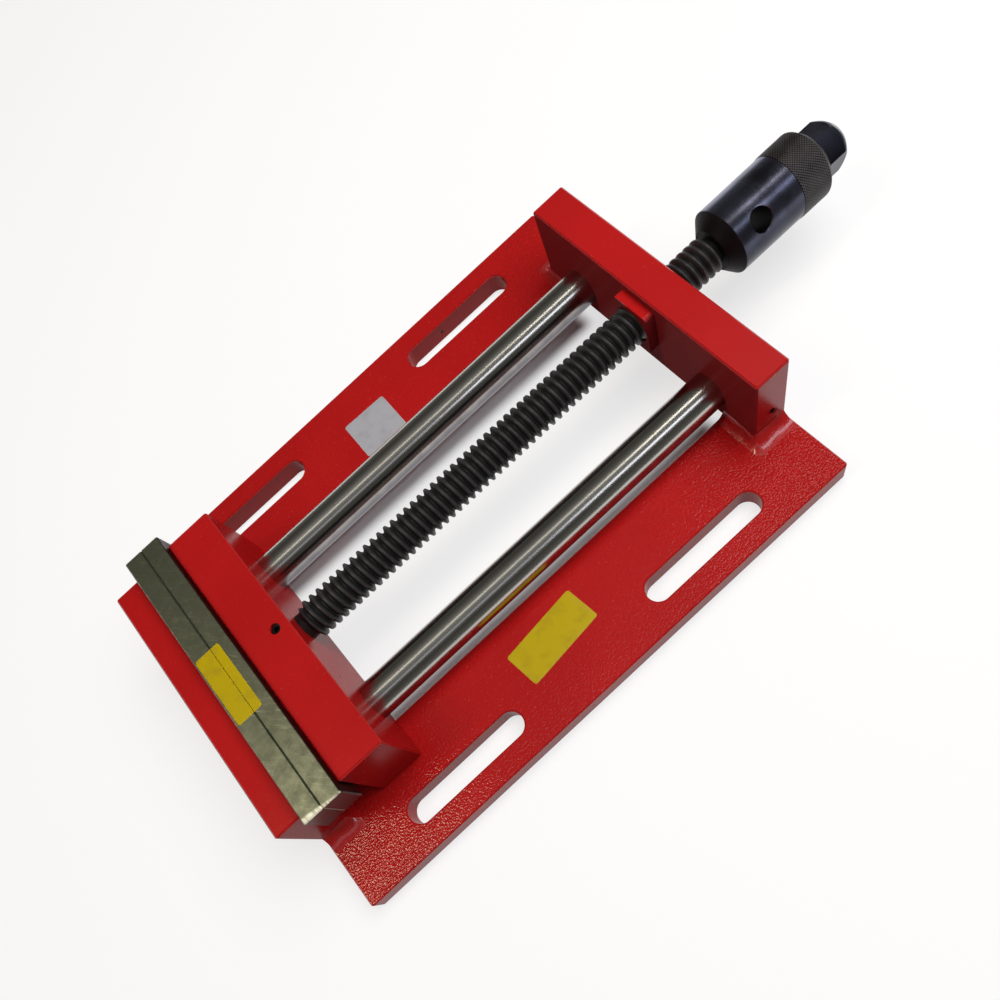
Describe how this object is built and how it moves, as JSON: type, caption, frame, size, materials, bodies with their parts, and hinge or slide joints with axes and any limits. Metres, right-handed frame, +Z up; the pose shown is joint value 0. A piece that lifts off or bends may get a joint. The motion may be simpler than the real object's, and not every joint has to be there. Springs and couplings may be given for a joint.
{
  "type": "drill press vise",
  "caption": "Low welded steel drill press vise with ground jaw plates, a jaw block that slides on guide rods, a lead screw with a hexagon-ended hub, and slotted base plates.",
  "frame": {"origin": "centre of the four table slots, on the underside of the base plates", "axes": "+X along the screw towards the handle hub, +Y across the jaws to the left when looking along +X, +Z up out of the table"},
  "size_m": [0.374, 0.21, 0.06],
  "materials": {
    "red_paint": "glossy orange-peel enamel over steel",
    "ground_steel": "ground, unpainted, slightly oiled",
    "polished_steel": "centreless ground and polished",
    "pin_steel": "plain ground",
    "black_oxide": "oiled black oxide",
    "yellow_label": "blank vinyl sticker",
    "silver_label": "blank foil sticker"
  },
  "bodies": {
    "body": {"base_plate_left": "red_paint", "base_plate_right": "red_paint", "fixed_jaw_block": "red_paint", "rear_block": "red_paint", "fixed_jaw_plate": "ground_steel", "fixed_jaw_screws": "black_oxide", "guide_rod_left": "polished_steel", "guide_rod_right": "polished_steel", "rod_pin_left": "pin_steel", "rod_pin_right": "pin_steel", "screw_nut": "red_paint", "front_weld_left": "red_paint", "front_weld_right": "red_paint", "rear_weld_left": "red_paint", "rear_weld_right": "red_paint"},
    "moving_jaw": {"moving_jaw_block": "red_paint", "moving_jaw_plate": "ground_steel", "moving_jaw_screws": "black_oxide", "thrust_pad": "pin_steel", "screw_retainer": "black_oxide"},
    "screw": {"lead_screw": "black_oxide", "handle_hub": "black_oxide"}
  },
  "joints": [
    {"name": "jaw_slide", "type": "slide", "parent": "body", "child": "moving_jaw", "axis": [1, 0, 0], "range_m": [0, 0.19]},
    {"name": "screw_turn", "type": "hinge", "parent": "moving_jaw", "child": "screw", "pos_m": [0.1, 0, 0.04], "axis": [1, 0, 0], "range_deg": [-10, 17110]}
  ],
  "couplings": [
    {"joint": "screw_turn", "follows": "jaw_slide", "rad_per_m": 1570.8}
  ]
}
